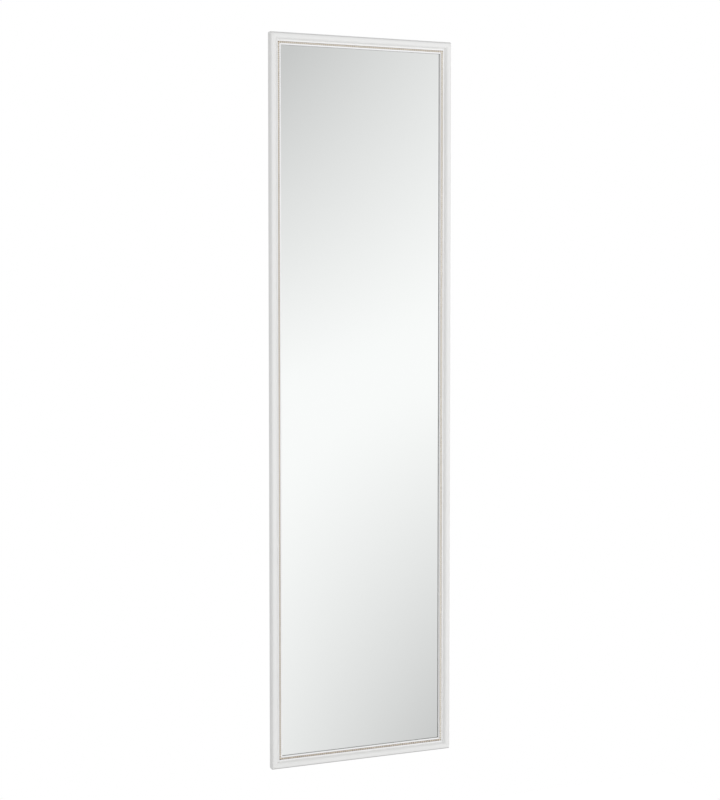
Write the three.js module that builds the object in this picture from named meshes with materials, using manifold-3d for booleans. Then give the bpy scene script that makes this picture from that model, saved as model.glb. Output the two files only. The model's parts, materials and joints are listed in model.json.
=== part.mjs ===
// A tall narrow mirror that hangs over the top edge of a door.
//
// Units are millimetres and +Z is up. The glass faces -Y and the door is on the +Y side.
// The origin is on the door's top edge, midway between the two hangers, in the plane of
// the door's face, at the underside of the hangers' pads when the hangers are pushed down.
// Heights of the moulding are measured forwards from the back plane of the frame, and
// "inward" is the distance from the frame's outer edge towards the glass.

import * as THREE from 'three';
import { mergeVertices } from 'three/addons/utils/BufferGeometryUtils.js';
import Module from 'manifold-3d';

const wasm = await Module();
wasm.setup();

// ---------------------------------------------------------------- driving dimensions

// Glass and the sheets behind it.
const GLASS_WIDTH = 304.8;
const GLASS_HEIGHT = 1219.2;
const GLASS_THICKNESS = 2;
const LINER_THICKNESS = 0.4;
const BOARD_THICKNESS = 1.5;
const EDGE_PLAY = 0.8; // round the edges of the glass, card and board
const SHEET_GAP = 0.1; // between flat sheets that lie on each other

// Moulding, across its width.
const MOULDING_WIDTH = 20.5;
const REBATE_WIDTH = 7.2;
const CREST_INWARD = 5.6;
const BAND_END_INWARD = 10.9; // where the broad outer band drops into the valley
const VALLEY_INWARD = 11.9;
const LIP_WIDTH = 2.6; // from the bead channel to the sight edge
const RIDGE_WIDTH = 1.6; // flat-ish top of the ridge beside the bead channel
const CORNER_ROUND = 1.7; // outer front corner
const BAND_FULLNESS = 0.7; // 0 to 1: how far the band holds its height towards the valley

// Moulding, heights above the front of the lip.
const LIP_THICKNESS = 0.9;
const CREST_RISE = 6.3;
const SHOULDER_RISE = 5.1;
const BAND_END_RISE = 3.4;
const VALLEY_RISE = 1;
const RIDGE_RISE = 1.6;
const LIP_CREST_RISE = 0.5;
const CHANNEL_RISE = 0.1;
const SIGHT_ROUND = 0.4;
const MITRE_GAP = 0.2;

// Beading.
const BEAD_DIAMETER = 2.8;
const BEAD_PITCH = 3.5; // nearly: a whole number of beads fills each side
const BEAD_WAIST = 1.8; // width of the strip between two beads
const BEAD_PLAY = 0.1; // each side of the beading in its channel

// Fastenings of the frame.
const NAIL_LEG = 6;
const NAIL_THICKNESS = 0.6;
const NAIL_DEPTH = 6;
const NAIL_INWARD = 9; // where the two legs meet
const NAIL_RECESS = 0.3; // how far the nail is sunk below the back plane
const POINT_WIDTH = 6;
const POINT_THICKNESS = 0.3;
const POINT_BITE = 5; // how far a point is driven into the wood
const POINT_HOLD = 7; // how far it lies over the board
const POINT_TIP = 2;
const POINT_COVER = 0.6; // wood left behind a point
const STILE_POINTS = 6;
const STILE_POINT_MARGIN = 110;
const RAIL_POINTS = 2;
const RAIL_POINT_SPACING = 70;
const CUT_PLAY = 0.2; // round a fastening in the hole that it sits in
const SEAT_GAP = 0.2; // under a piece that rests on the moulding

// Bumpers.
const BUMPER_DEPTH = 9.5; // from the frame's back plane to the door
const BUMPER_BASE_DIAMETER = 9;
const BUMPER_FACE_DIAMETER = 5.5;
const BUMPER_ROUND = 1.2;
const BUMPER_INWARD = 7.4; // from the frame's outer edge to the middle of a bumper
const BUMPER_END_INSET = 42; // from the end of the stile

// Hangers.
const HANGER_INSET = 75; // from the frame's outer edge to the middle of a hanger
const HANGER_TRAVEL = 100;
const TOP_ABOVE_DOOR = 12; // frame's top edge above the door's, with the hangers down
const DOOR_THICKNESS = 44.5;
const DOOR_PLAY = 0.5;
const STRAP_WIDTH = 25;
const STRAP_THICKNESS = 1.5;
const STRAP_BEND = 3; // inner radius over the door
const STRAP_TAIL_BEND = 2; // inner radius of the stop tab
const STRAP_LIP_DROP = 24; // straight part of the lip behind the door
const STRAP_FLARE_ANGLE = 18;
const STRAP_FLARE_BEND = 6;
const STRAP_FLARE_LENGTH = 4;
const TAB_TO_DOOR = 1.5; // stop tab's end, short of the door's face
const PAD_THICKNESS = 1;
const PAD_GAP = 0.1;
const PAD_MARGIN = 2; // pad edges inside the strap's edges
const STRAP_PLAY = 0.3; // round the strap in its sleeve
const STOP_GAP = 0.3; // left at each end of the strap's travel

// Sleeves and their screws.
const SLEEVE_WALL = 1.2;
const SLEEVE_LENGTH = 50;
const PLATE_WIDTH = 50;
const PLATE_BELOW_TOP = 2; // plate's upper edge below the frame's top edge
const PLATE_CORNER = 3;
const EAR_SCREW_INSET = 6; // from the side edges of the plate
const SCREW_HEAD_DIAMETER = 5.2;
const SCREW_HEAD_HEIGHT = 1.5;
const SCREW_HEAD_DOME = 0.9; // height of the domed part of the head
const SCREW_SHANK_DIAMETER = 2.8;
const SCREW_LENGTH = 9;
const SCREW_TIP = 2;
const RECESS_SPAN = 2.8;
const RECESS_WIDTH = 0.7;
const RECESS_DEPTH = 0.8;

// Lock screws.
const LOCK_DIAMETER = 4;
const LOCK_HEAD_DIAMETER = 8;
const LOCK_HEAD_HEIGHT = 2;
const LOCK_HEAD_ROUND = 0.6;
const LOCK_HEAD_GAP = 0.4; // head above its collar when the screw is tight
const LOCK_SLOT_WIDTH = 1.2;
const LOCK_SLOT_DEPTH = 0.9;
const COLLAR_HEIGHT = 1.5;
const COLLAR_DIAMETER = 9;
const LOCK_BELOW_SLEEVE_TOP = 25;

// Facets.
const ARC_STEPS = 10;
const ROUND_SIDES = 24;
const SCREW_SIDES = 16;
const DOME_STEPS = 4;
const BEAD_STEPS = 2; // round half of a bead
const CUT_THROUGH = 1; // how far a cutter runs past the face that it opens

// ---------------------------------------------------------------- worked-out dimensions

const REBATE_INWARD = MOULDING_WIDTH - REBATE_WIDTH;
const FRAME_WIDTH = GLASS_WIDTH + 2 * (EDGE_PLAY + REBATE_INWARD);
const FRAME_HEIGHT = GLASS_HEIGHT + 2 * (EDGE_PLAY + REBATE_INWARD);
const HANGER_SPACING = FRAME_WIDTH - 2 * HANGER_INSET;
const FRAME_TOP = TOP_ABOVE_DOOR;
const FRAME_MIDDLE = FRAME_TOP - FRAME_HEIGHT / 2;
const BACK_PLANE = -BUMPER_DEPTH; // y of the frame's back

// The stack inside the rebate, as heights above the back plane.
const POINT_BACK = POINT_COVER + CUT_PLAY;
const BOARD_BACK = POINT_BACK + POINT_THICKNESS + SHEET_GAP;
const LINER_BACK = BOARD_BACK + BOARD_THICKNESS + SHEET_GAP;
const GLASS_BACK = LINER_BACK + LINER_THICKNESS + SHEET_GAP;
const REBATE_DEPTH = GLASS_BACK + GLASS_THICKNESS + SHEET_GAP;
const LIP_FRONT = REBATE_DEPTH + LIP_THICKNESS;

// The bead channel.
const CHANNEL_WIDTH = BEAD_DIAMETER + 2 * BEAD_PLAY;
const CHANNEL_INNER = MOULDING_WIDTH - LIP_WIDTH;
const CHANNEL_OUTER = CHANNEL_INNER - CHANNEL_WIDTH;
const BEAD_LINE = CHANNEL_INNER - CHANNEL_WIDTH / 2;
const CHANNEL_HEIGHT = LIP_FRONT + CHANNEL_RISE;

// Depths of the hanger's layers, from the frame's back plane towards the door.
const PLATE_FRONT = BACK_PLANE + SEAT_GAP;
const CAVITY_FRONT = PLATE_FRONT + SLEEVE_WALL;
const STRAP_FRONT = CAVITY_FRONT + STRAP_PLAY;
const STRAP_BACK = STRAP_FRONT + STRAP_THICKNESS;
const CAVITY_BACK = STRAP_BACK + STRAP_PLAY;
const COVER_BACK = CAVITY_BACK + SLEEVE_WALL;
const COLLAR_BACK = COVER_BACK + COLLAR_HEIGHT;
const LOCK_HEAD_FRONT = COLLAR_BACK + LOCK_HEAD_GAP;

// A strap's bend meets a sleeve's edge at the strap's play away from the strap's face.
const bendRise = (radius) => radius - Math.sqrt(radius ** 2 - (radius - STRAP_PLAY) ** 2);
const BRIDGE_UNDERSIDE = PAD_THICKNESS;
const SLEEVE_TOP = BRIDGE_UNDERSIDE - bendRise(STRAP_BEND) - STOP_GAP;
const SLEEVE_BOTTOM = SLEEVE_TOP - SLEEVE_LENGTH;
const TAB_TOP = SLEEVE_BOTTOM - HANGER_TRAVEL - STOP_GAP - bendRise(STRAP_TAIL_BEND);
const LIP_PAD_FRONT = DOOR_THICKNESS + DOOR_PLAY;
const STRAP_LIP_FRONT = LIP_PAD_FRONT + PAD_THICKNESS;
const LOCK_HEIGHT = SLEEVE_TOP - LOCK_BELOW_SLEEVE_TOP;
const EAR_SCREW_SPACING = PLATE_WIDTH - 2 * EAR_SCREW_INSET;
const EAR_SCREW_HEIGHT = FRAME_TOP - REBATE_INWARD / 2;

// ---------------------------------------------------------------- materials

const paint = () => new THREE.MeshStandardMaterial({ color: 0xeceae6, roughness: 0.45 });
const ivory = () => new THREE.MeshStandardMaterial({ color: 0xd9d0bd, roughness: 0.4 });
const silvered = () => new THREE.MeshStandardMaterial({ color: 0xdfe4e2, roughness: 0.05, metalness: 1 });
const card = () => new THREE.MeshStandardMaterial({ color: 0x9a8f7d, roughness: 0.9 });
const hardboard = () => new THREE.MeshStandardMaterial({ color: 0x7a5a3c, roughness: 0.75 });
const steel = () => new THREE.MeshStandardMaterial({ color: 0xb9bcc0, roughness: 0.35, metalness: 1 });
const rubber = () => new THREE.MeshStandardMaterial({ color: 0x3a3a3c, roughness: 0.8 });
const foam = () => new THREE.MeshStandardMaterial({ color: 0xf2f0ea, roughness: 0.9 });

// ---------------------------------------------------------------- shared helpers

// A closed geometry as a solid that can be cut and joined.
function toSolid(geometry) {
  const bare = geometry.clone();
  bare.deleteAttribute('normal');
  bare.deleteAttribute('uv');
  const merged = mergeVertices(bare, 1e-3);
  return new wasm.Manifold(new wasm.Mesh({
    numProp: 3,
    vertProperties: new Float32Array(merged.attributes.position.array),
    triVerts: new Uint32Array(merged.index.array),
  }));
}

function toGeometry(solid) {
  const mesh = solid.getMesh();
  const geometry = new THREE.BufferGeometry();
  geometry.setAttribute('position', new THREE.BufferAttribute(mesh.vertProperties, 3));
  geometry.setIndex(new THREE.BufferAttribute(mesh.triVerts, 1));
  geometry.computeVertexNormals();
  return geometry;
}

function cut(geometry, cutters) {
  const whole = toSolid(geometry);
  return toGeometry(cutters.reduce((solid, cutter) => solid.subtract(toSolid(cutter)), whole));
}

function join(geometries) {
  const [first, ...rest] = geometries.map(toSolid);
  return toGeometry(rest.reduce((solid, other) => solid.add(other), first));
}

function named(name, geometry, material) {
  const mesh = new THREE.Mesh(geometry, material);
  mesh.name = name;
  return mesh;
}

// A box from its low and high limits along each axis.
function boxBetween([x0, x1], [y0, y1], [z0, z1]) {
  const box = new THREE.BoxGeometry(x1 - x0, y1 - y0, z1 - z0);
  return box.translate((x0 + x1) / 2, (y0 + y1) / 2, (z0 + z1) / 2);
}

// A flat piece drawn in the plane of the frame, as x and z, from one y to another.
function plateBetween(shape, front, back) {
  const plate = new THREE.ExtrudeGeometry(shape, {
    depth: back - front,
    steps: 1,
    bevelEnabled: false,
    curveSegments: ARC_STEPS,
  });
  return plate.rotateX(Math.PI / 2).translate(0, back, 0);
}

// A round piece about the y axis, from [radius, y] points in order from its low-y end.
function turned(points, sides = ROUND_SIDES) {
  return new THREE.LatheGeometry(points.map(([radius, y]) => new THREE.Vector2(radius, y)), sides);
}

// Points of an elliptic dome from its rim to the axis.
function dome(radius, base, height) {
  return Array.from({ length: DOME_STEPS + 1 }, (_, i) => {
    const angle = (i / DOME_STEPS) * (Math.PI / 2);
    const reach = i === DOME_STEPS ? 0 : radius * Math.cos(angle);
    return [reach, base + height * Math.sin(angle)];
  });
}

function cylinderBetween(radius, front, back, x, z) {
  return turned([[0, front], [radius, front], [radius, back], [0, back]]).translate(x, 0, z);
}

// ---------------------------------------------------------------- moulding

// Section of the moulding: x is inward from the outer edge, y is height.
function mouldingSection() {
  const shoulder = LIP_FRONT + SHOULDER_RISE;
  const crest = LIP_FRONT + CREST_RISE;
  const bandEnd = LIP_FRONT + BAND_END_RISE;
  const valley = LIP_FRONT + VALLEY_RISE;
  const ridge = LIP_FRONT + RIDGE_RISE;
  const lipCrest = LIP_FRONT + LIP_CREST_RISE;
  const ridgeOuter = CHANNEL_OUTER - RIDGE_WIDTH;
  const ridgeMiddle = CHANNEL_OUTER - RIDGE_WIDTH / 2;
  const ridgeFoot = ridgeOuter - RIDGE_WIDTH / 2;
  // The corner's curve leaves the band at the band's own slope, so that no crease shows.
  const cornerSlope = (crest - shoulder) / (CREST_INWARD / 2 - CORNER_ROUND);
  const section = new THREE.Shape();
  section.moveTo(0, 0);
  section.lineTo(REBATE_INWARD, 0);
  section.lineTo(REBATE_INWARD, REBATE_DEPTH);
  section.lineTo(MOULDING_WIDTH, REBATE_DEPTH);
  section.lineTo(MOULDING_WIDTH, LIP_FRONT - SIGHT_ROUND);
  section.quadraticCurveTo(MOULDING_WIDTH, LIP_FRONT, MOULDING_WIDTH - SIGHT_ROUND, LIP_FRONT);
  section.quadraticCurveTo(CHANNEL_INNER + SIGHT_ROUND, lipCrest, CHANNEL_INNER, lipCrest);
  section.lineTo(CHANNEL_INNER, CHANNEL_HEIGHT);
  section.lineTo(CHANNEL_OUTER, CHANNEL_HEIGHT);
  section.lineTo(CHANNEL_OUTER, (CHANNEL_HEIGHT + ridge) / 2);
  section.quadraticCurveTo(CHANNEL_OUTER, ridge, ridgeMiddle, ridge);
  section.quadraticCurveTo(ridgeOuter, ridge, ridgeFoot, (ridge + valley) / 2);
  section.quadraticCurveTo((VALLEY_INWARD + ridgeFoot) / 2, valley, VALLEY_INWARD, valley);
  section.lineTo(BAND_END_INWARD, bandEnd);
  section.quadraticCurveTo(
    CREST_INWARD + (BAND_END_INWARD - CREST_INWARD) * BAND_FULLNESS,
    crest,
    CREST_INWARD,
    crest,
  );
  section.quadraticCurveTo(CREST_INWARD / 2, crest, CORNER_ROUND, shoulder);
  section.quadraticCurveTo(0, shoulder - CORNER_ROUND * cornerSlope, 0, shoulder - 2 * CORNER_ROUND);
  section.closePath();
  return section;
}

const MITRE_TRIM = (MITRE_GAP / 2) * Math.SQRT2;

// A mitred length of the moulding. It runs along x, its outer edge is on z = 0 and its
// front is towards -y. Each end is cut back by the trim, so that two of them never touch.
function mitredMoulding(length) {
  const geometry = new THREE.ExtrudeGeometry(mouldingSection(), {
    depth: length,
    steps: 1,
    bevelEnabled: false,
    curveSegments: ARC_STEPS,
  });
  const position = geometry.attributes.position;
  for (let i = 0; i < position.count; i += 1) {
    const inward = position.getX(i);
    const height = position.getY(i);
    const end = Math.sign(length / 2 - position.getZ(i));
    position.setXYZ(i, end * (length / 2 - inward - MITRE_TRIM), -height, -inward);
  }
  return geometry;
}

// ---------------------------------------------------------------- corner nails

// Outline of a bent nail seen from the front: its legs lie along the two mouldings that
// meet at the origin's corner. It is grown by play on every side to make its hole.
function nailOutline(play) {
  const half = NAIL_THICKNESS / 2 + play;
  const knee = -NAIL_INWARD - half;
  const end = -NAIL_INWARD + NAIL_LEG + play;
  const inner = -NAIL_INWARD + half;
  const outline = new THREE.Shape();
  outline.moveTo(knee, knee);
  outline.lineTo(end, knee);
  outline.lineTo(end, inner);
  outline.lineTo(inner, inner);
  outline.lineTo(inner, end);
  outline.lineTo(knee, end);
  outline.closePath();
  return outline;
}

function nailBody(play) {
  const back = play > 0 ? play : -NAIL_RECESS;
  const front = -NAIL_RECESS - NAIL_DEPTH - play;
  return plateBetween(nailOutline(play), front, back);
}

// ---------------------------------------------------------------- glazing points

// A point on a side's own axes: it lies over the board and is driven outwards.
function pointBody() {
  const tip = -REBATE_INWARD + POINT_BITE;
  const outline = new THREE.Shape();
  outline.moveTo(-POINT_WIDTH / 2, -REBATE_INWARD - POINT_HOLD);
  outline.lineTo(POINT_WIDTH / 2, -REBATE_INWARD - POINT_HOLD);
  outline.lineTo(POINT_WIDTH / 2, tip - POINT_TIP);
  outline.lineTo(0, tip);
  outline.lineTo(-POINT_WIDTH / 2, tip - POINT_TIP);
  outline.closePath();
  return plateBetween(outline, -POINT_BACK - POINT_THICKNESS, -POINT_BACK);
}

function pointSlot(x) {
  const half = POINT_WIDTH / 2 + CUT_PLAY;
  return boxBetween(
    [x - half, x + half],
    [-POINT_BACK - POINT_THICKNESS - CUT_PLAY, -POINT_BACK + CUT_PLAY],
    [-REBATE_INWARD - CUT_PLAY, -REBATE_INWARD + POINT_BITE + CUT_PLAY],
  );
}

// Places evenly spread about the middle of a side.
function spread(count, spacing) {
  return Array.from({ length: count }, (_, i) => (i - (count - 1) / 2) * spacing);
}

const STILE_POINT_SPACING = (FRAME_HEIGHT - 2 * STILE_POINT_MARGIN) / (STILE_POINTS - 1);
const stilePlaces = spread(STILE_POINTS, STILE_POINT_SPACING);
const railPlaces = spread(RAIL_POINTS, RAIL_POINT_SPACING);

// ---------------------------------------------------------------- the four sides

// The beading's section where it has the given width, as [inward, height] points.
function beadSection(width) {
  const radius = width / 2;
  const seat = CHANNEL_HEIGHT + SHEET_GAP;
  return Array.from({ length: BEAD_STEPS + 1 }, (_, i) => {
    const angle = (i / BEAD_STEPS) * Math.PI;
    return [BEAD_LINE + radius * Math.cos(angle), seat + radius * Math.sin(angle)];
  });
}

// A strip of half beads along a side, on the side's own axes. Its sections go from waist
// to bead to waist, and the waists at its two ends are cut to the mitre.
function beadedStrip(sideLength) {
  const reach = sideLength / 2 - BEAD_LINE - MITRE_TRIM;
  const beads = Math.round((2 * reach) / BEAD_PITCH);
  const lastStation = 2 * beads;
  const points = [];
  for (let station = 0; station <= lastStation; station += 1) {
    const x = (station / beads - 1) * reach;
    const end = Number(station === lastStation) - Number(station === 0);
    const width = station % 2 === 0 ? BEAD_WAIST : BEAD_DIAMETER;
    for (const [inward, height] of beadSection(width)) {
      points.push(x - end * (inward - BEAD_LINE), -height, -inward);
    }
  }
  const ring = BEAD_STEPS + 1;
  const triangles = [];
  for (let station = 0; station < lastStation; station += 1) {
    for (let i = 0; i < ring; i += 1) {
      const a = station * ring + i;
      const b = station * ring + ((i + 1) % ring);
      triangles.push(a, a + ring, b, b, a + ring, b + ring);
    }
  }
  const last = lastStation * ring;
  for (let i = 1; i < BEAD_STEPS; i += 1) {
    triangles.push(0, i, i + 1);
    triangles.push(last, last + i + 1, last + i);
  }
  const strip = new THREE.BufferGeometry();
  strip.setAttribute('position', new THREE.Float32BufferAttribute(points, 3));
  strip.setIndex(triangles);
  strip.computeVertexNormals();
  return strip;
}

// One side of the frame on its own axes, with what is fixed to it.
function frameSide({ rail, prefix, length, places, holes }) {
  const side = new THREE.Group();
  const nailHoleRight = nailBody(CUT_PLAY).translate(length / 2, 0, 0);
  const nailHoleLeft = nailBody(CUT_PLAY).rotateY(-Math.PI / 2).translate(-length / 2, 0, 0);
  const body = mitredMoulding(length);
  const cutters = [nailHoleRight, nailHoleLeft, ...places.map(pointSlot), ...holes];
  side.add(named(rail, cut(body, cutters), paint()));
  side.add(named(`${prefix}_beading`, beadedStrip(length), ivory()));
  places.forEach((x, i) => {
    const point = named(`${prefix}_glazing_point_${i + 1}`, pointBody(), steel());
    point.position.x = x;
    side.add(point);
  });
  return side;
}

// A quarter round from a turned piece's side to its flat end of the given radius.
function roundedRim(flatRadius, end, round) {
  return Array.from({ length: DOME_STEPS + 1 }, (_, i) => {
    const angle = (i / DOME_STEPS) * (Math.PI / 2);
    return [flatRadius + round * Math.cos(angle), end - round * (1 - Math.sin(angle))];
  });
}

function bumperBody() {
  const length = BUMPER_DEPTH - SEAT_GAP;
  const base = BUMPER_BASE_DIAMETER / 2;
  const face = BUMPER_FACE_DIAMETER / 2;
  const bumper = turned([
    [0, 0],
    [base, 0],
    [base, BUMPER_ROUND],
    ...roundedRim(face, length, BUMPER_ROUND),
    [0, length],
  ]);
  return bumper.translate(0, SEAT_GAP, 0);
}

// ---------------------------------------------------------------- sleeve screws

const hangerPlaces = [['left', -HANGER_SPACING / 2], ['right', HANGER_SPACING / 2]];
const earScrewPlaces = [-EAR_SCREW_SPACING / 2, EAR_SCREW_SPACING / 2];

// A wood screw with its head's underside on y = 0 and its point towards -y.
function sleeveScrew() {
  const shank = SCREW_SHANK_DIAMETER / 2;
  const head = SCREW_HEAD_DIAMETER / 2;
  const body = turned([
    [0, -SCREW_LENGTH],
    [shank, -SCREW_LENGTH + SCREW_TIP],
    [shank, 0],
    [head, 0],
    ...dome(head, SCREW_HEAD_HEIGHT - SCREW_HEAD_DOME, SCREW_HEAD_DOME),
  ], SCREW_SIDES);
  const along = [-RECESS_SPAN / 2, RECESS_SPAN / 2];
  const across = [-RECESS_WIDTH / 2, RECESS_WIDTH / 2];
  const deep = [SCREW_HEAD_HEIGHT - RECESS_DEPTH, SCREW_HEAD_HEIGHT + CUT_THROUGH];
  return cut(body, [boxBetween(along, deep, across), boxBetween(across, deep, along)]);
}

// The pilot holes for them, on the top rail's own axes.
function pilotHoles() {
  const z = EAR_SCREW_HEIGHT - FRAME_TOP;
  const radius = SCREW_SHANK_DIAMETER / 2 + CUT_PLAY;
  const bottom = PLATE_FRONT + SLEEVE_WALL - BACK_PLANE - SCREW_LENGTH - CUT_PLAY;
  return hangerPlaces.flatMap(([, hangerX]) => earScrewPlaces.map(
    (x) => cylinderBetween(radius, bottom, CUT_PLAY, hangerX + x, z),
  ));
}

// ---------------------------------------------------------------- hanger strap

// The strap's middle line, from the stop tab up the shank, over the door and down behind it.
// Coordinates are [y, z] and the radii are those of the middle line.
function strapPath() {
  const half = STRAP_THICKNESS / 2;
  const shankY = (STRAP_FRONT + STRAP_BACK) / 2;
  const tabZ = TAB_TOP - half;
  const bridgeZ = BRIDGE_UNDERSIDE + half;
  const lipY = STRAP_LIP_FRONT + half;
  const bend = STRAP_BEND + half;
  const tailBend = STRAP_TAIL_BEND + half;
  const flare = THREE.MathUtils.degToRad(STRAP_FLARE_ANGLE);
  const flareCentreY = lipY + STRAP_FLARE_BEND;
  const flareZ = bridgeZ - bend - STRAP_LIP_DROP;
  const path = [[-TAB_TO_DOOR, tabZ]];
  const arc = (centreY, centreZ, radius, from, to) => {
    for (let i = 0; i <= ARC_STEPS; i += 1) {
      const angle = from + ((to - from) * i) / ARC_STEPS;
      path.push([centreY + radius * Math.cos(angle), centreZ + radius * Math.sin(angle)]);
    }
  };
  arc(shankY + tailBend, tabZ + tailBend, tailBend, -Math.PI / 2, -Math.PI);
  arc(shankY + bend, bridgeZ - bend, bend, Math.PI, Math.PI / 2);
  arc(lipY - bend, bridgeZ - bend, bend, Math.PI / 2, 0);
  arc(flareCentreY, flareZ, STRAP_FLARE_BEND, Math.PI, Math.PI + flare);
  const [lastY, lastZ] = path[path.length - 1];
  const flareY = STRAP_FLARE_LENGTH * Math.sin(flare);
  const flareDrop = STRAP_FLARE_LENGTH * Math.cos(flare);
  path.push([lastY + flareY, lastZ - flareDrop]);
  return path;
}

// The path thickened to the strap's gauge and given the strap's width.
function strapBody() {
  const path = strapPath();
  const half = STRAP_THICKNESS / 2;
  const leftSide = [];
  const rightSide = [];
  path.forEach(([y, z], i) => {
    const [beforeY, beforeZ] = path[Math.max(i - 1, 0)];
    const [afterY, afterZ] = path[Math.min(i + 1, path.length - 1)];
    const length = Math.hypot(afterY - beforeY, afterZ - beforeZ);
    const alongY = (afterY - beforeY) / length;
    const alongZ = (afterZ - beforeZ) / length;
    leftSide.push(new THREE.Vector2(y - alongZ * half, z + alongY * half));
    rightSide.push(new THREE.Vector2(y + alongZ * half, z - alongY * half));
  });
  const outline = new THREE.Shape([...leftSide, ...rightSide.reverse()]);
  const strap = new THREE.ExtrudeGeometry(outline, {
    depth: STRAP_WIDTH,
    steps: 1,
    bevelEnabled: false,
  });
  // The drawing's axes become y and z, and the depth becomes x.
  const turn = new THREE.Matrix4().makeBasis(
    new THREE.Vector3(0, 1, 0),
    new THREE.Vector3(0, 0, 1),
    new THREE.Vector3(1, 0, 0),
  );
  return strap.applyMatrix4(turn).translate(-STRAP_WIDTH / 2, 0, 0);
}

function seatPadBody() {
  const across = [-STRAP_WIDTH / 2 + PAD_MARGIN, STRAP_WIDTH / 2 - PAD_MARGIN];
  const along = [STRAP_BACK + STRAP_BEND + PAD_MARGIN, STRAP_LIP_FRONT - STRAP_BEND - PAD_MARGIN];
  return boxBetween(across, along, [0, PAD_THICKNESS - PAD_GAP]);
}

function lipPadBody() {
  const across = [-STRAP_WIDTH / 2 + PAD_MARGIN, STRAP_WIDTH / 2 - PAD_MARGIN];
  const top = BRIDGE_UNDERSIDE - STRAP_BEND - PAD_MARGIN;
  const bottom = BRIDGE_UNDERSIDE - STRAP_BEND - STRAP_LIP_DROP + PAD_MARGIN;
  return boxBetween(across, [LIP_PAD_FRONT, STRAP_LIP_FRONT - PAD_GAP], [bottom, top]);
}

// ---------------------------------------------------------------- hanger sleeve

function sleevePlateOutline() {
  const right = PLATE_WIDTH / 2 - PLATE_CORNER;
  const top = FRAME_TOP - PLATE_BELOW_TOP - PLATE_CORNER;
  const bottom = SLEEVE_BOTTOM + PLATE_CORNER;
  const centres = [[right, top], [-right, top], [-right, bottom], [right, bottom]];
  const outline = new THREE.Shape();
  centres.forEach(([x, z], quarter) => {
    const start = (quarter * Math.PI) / 2;
    outline.absarc(x, z, PLATE_CORNER, start, start + Math.PI / 2, false);
  });
  outline.closePath();
  return outline;
}

// Back plate, box round the strap and threaded collar, welded into one piece.
function sleeveBody() {
  const innerHalf = STRAP_WIDTH / 2 + STRAP_PLAY;
  const outerHalf = innerHalf + SLEEVE_WALL;
  const weld = SLEEVE_WALL / 2;
  const holeRadius = SCREW_SHANK_DIAMETER / 2 + CUT_PLAY;
  const threadRadius = LOCK_DIAMETER / 2 + CUT_PLAY;
  const plate = plateBetween(sleevePlateOutline(), PLATE_FRONT, CAVITY_FRONT);
  const box = boxBetween(
    [-outerHalf, outerHalf],
    [CAVITY_FRONT - weld, COVER_BACK],
    [SLEEVE_BOTTOM, SLEEVE_TOP],
  );
  const cavity = boxBetween(
    [-innerHalf, innerHalf],
    [CAVITY_FRONT, CAVITY_BACK],
    [SLEEVE_BOTTOM - CUT_THROUGH, SLEEVE_TOP + CUT_THROUGH],
  );
  const collar = cylinderBetween(COLLAR_DIAMETER / 2, COVER_BACK - weld, COLLAR_BACK, 0, LOCK_HEIGHT);
  const thread = cylinderBetween(
    threadRadius,
    CAVITY_BACK - CUT_THROUGH,
    COLLAR_BACK + CUT_THROUGH,
    0,
    LOCK_HEIGHT,
  );
  const screwHoles = earScrewPlaces.map(
    (x) => cylinderBetween(
      holeRadius,
      PLATE_FRONT - CUT_THROUGH,
      CAVITY_FRONT + CUT_THROUGH,
      x,
      EAR_SCREW_HEIGHT,
    ),
  );
  return cut(join([plate, box, collar]), [cavity, thread, ...screwHoles]);
}

// The lock screw on its own axis, at its tight place along y.
function lockScrewBody() {
  const shank = LOCK_DIAMETER / 2;
  const head = LOCK_HEAD_DIAMETER / 2;
  const tip = STRAP_BACK + STOP_GAP;
  const headBack = LOCK_HEAD_FRONT + LOCK_HEAD_HEIGHT;
  const body = turned([
    [0, tip],
    [shank, tip],
    [shank, LOCK_HEAD_FRONT],
    [head, LOCK_HEAD_FRONT],
    ...roundedRim(head - LOCK_HEAD_ROUND, headBack, LOCK_HEAD_ROUND),
    [0, headBack],
  ]);
  const slot = boxBetween(
    [-head - CUT_THROUGH, head + CUT_THROUGH],
    [headBack - LOCK_SLOT_DEPTH, headBack + CUT_THROUGH],
    [-LOCK_SLOT_WIDTH / 2, LOCK_SLOT_WIDTH / 2],
  );
  return cut(body, [slot]);
}

// ---------------------------------------------------------------- assembly

const mirror = new THREE.Group();

// The frame's own axes: its middle, on its back plane.
const frame = new THREE.Group();
frame.position.set(0, BACK_PLANE, FRAME_MIDDLE);
mirror.add(frame);

// Each side is turned by quarters from the top one, clockwise as seen from the front.
const railSpec = { length: FRAME_WIDTH, reach: FRAME_HEIGHT / 2, places: railPlaces, holes: [] };
const stileSpec = { length: FRAME_HEIGHT, reach: FRAME_WIDTH / 2, places: stilePlaces, holes: [] };
const sides = [
  { ...railSpec, rail: 'top_rail', prefix: 'top', holes: pilotHoles() },
  { ...stileSpec, rail: 'right_stile', prefix: 'right' },
  { ...railSpec, rail: 'bottom_rail', prefix: 'bottom' },
  { ...stileSpec, rail: 'left_stile', prefix: 'left' },
];
sides.forEach((spec, quarter) => {
  const side = frameSide(spec);
  const turn = (quarter * Math.PI) / 2;
  side.rotation.y = turn;
  side.position.set(spec.reach * Math.sin(turn), 0, spec.reach * Math.cos(turn));
  frame.add(side);
});

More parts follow.
